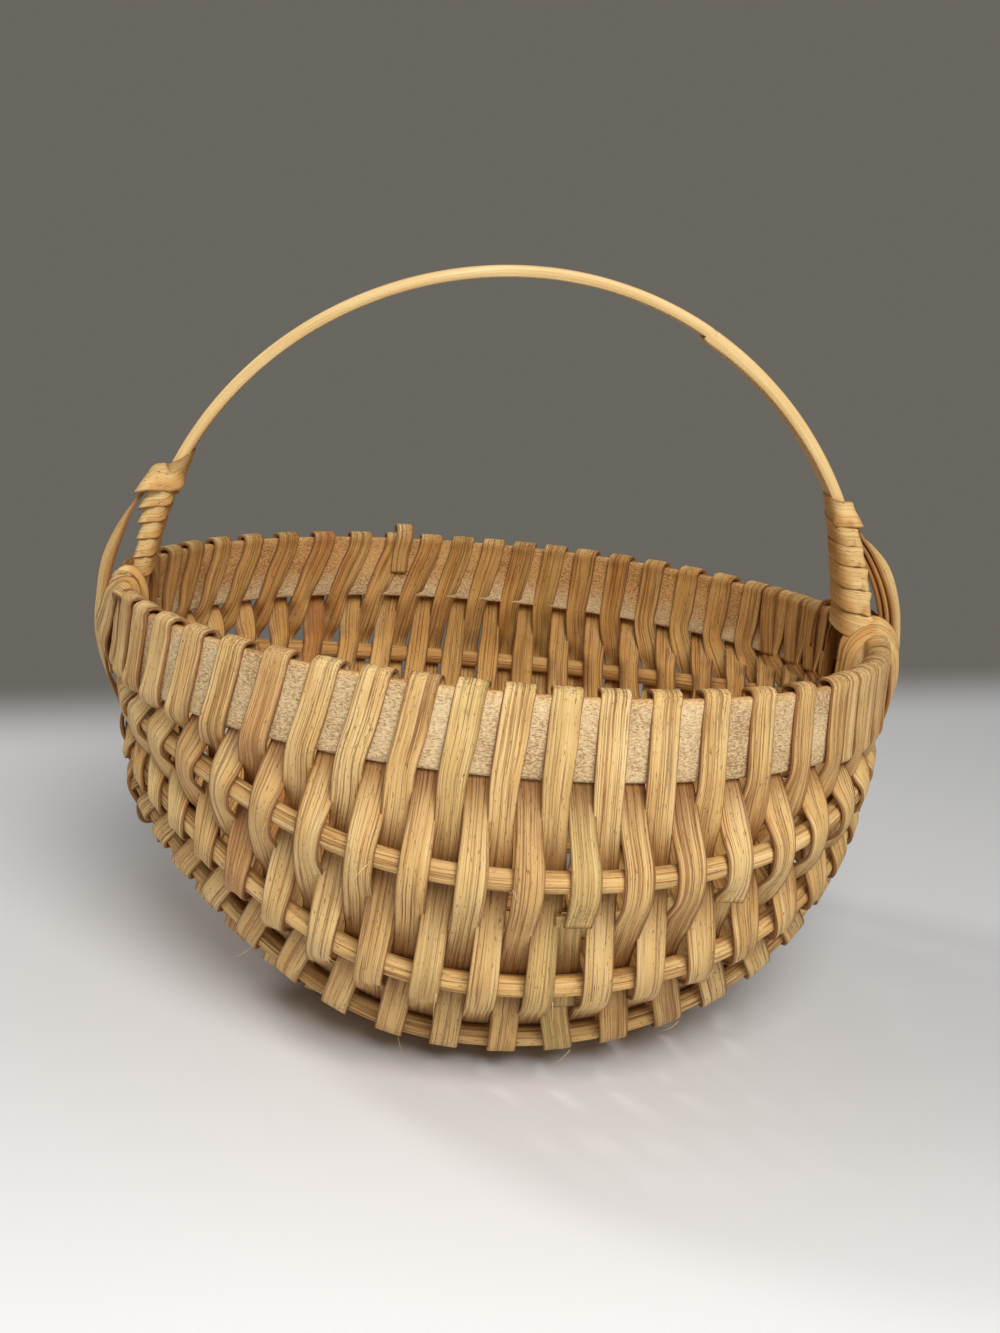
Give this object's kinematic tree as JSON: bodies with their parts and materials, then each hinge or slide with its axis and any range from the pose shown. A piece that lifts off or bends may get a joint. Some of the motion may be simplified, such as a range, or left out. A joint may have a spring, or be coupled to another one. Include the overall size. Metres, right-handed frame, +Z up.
{
  "type": "buttocks basket",
  "caption": "Small ribbed egg basket with a round wooden rim, a tall arched handle and a bowl of flat reed woven over round ribs.",
  "frame": {"origin": "middle of the basket on the surface that it rests on", "axes": "+Z up through the top of the handle, X from ear to ear along the handle hoop, -Y towards the side that the picture shows"},
  "size_m": [0.1864, 0.1858, 0.1634],
  "materials": {
    "flat_reed": "bare split reed, satin, with lengthwise fibres",
    "round_reed": "bare round reed, satin",
    "rim_wood": "bare bent hoop stock, matte and finely mottled",
    "handle_wood": "bare bent strip, smooth from handling"
  },
  "bodies": {
    "root": {"rim_hoop": "rim_wood", "handle_hoop": "handle_wood", "rib_front_1": "round_reed", "rib_front_2": "round_reed", "rib_front_3": "round_reed", "rib_front_4": "round_reed", "rib_back_1": "round_reed", "rib_back_2": "round_reed", "rib_back_3": "round_reed", "rib_back_4": "round_reed", "weaver_1": "flat_reed", "weaver_2": "flat_reed", "weaver_3": "flat_reed", "weaver_4": "flat_reed", "weaver_5": "flat_reed", "weaver_6": "flat_reed", "weaver_7": "flat_reed", "weaver_8": "flat_reed", "weaver_9": "flat_reed", "handle_wrap_left": "flat_reed", "ear_brace_left": "flat_reed", "ear_lashing_left": "flat_reed", "handle_wrap_right": "flat_reed", "ear_brace_right": "flat_reed", "ear_lashing_right": "flat_reed"}
  },
  "joints": []
}
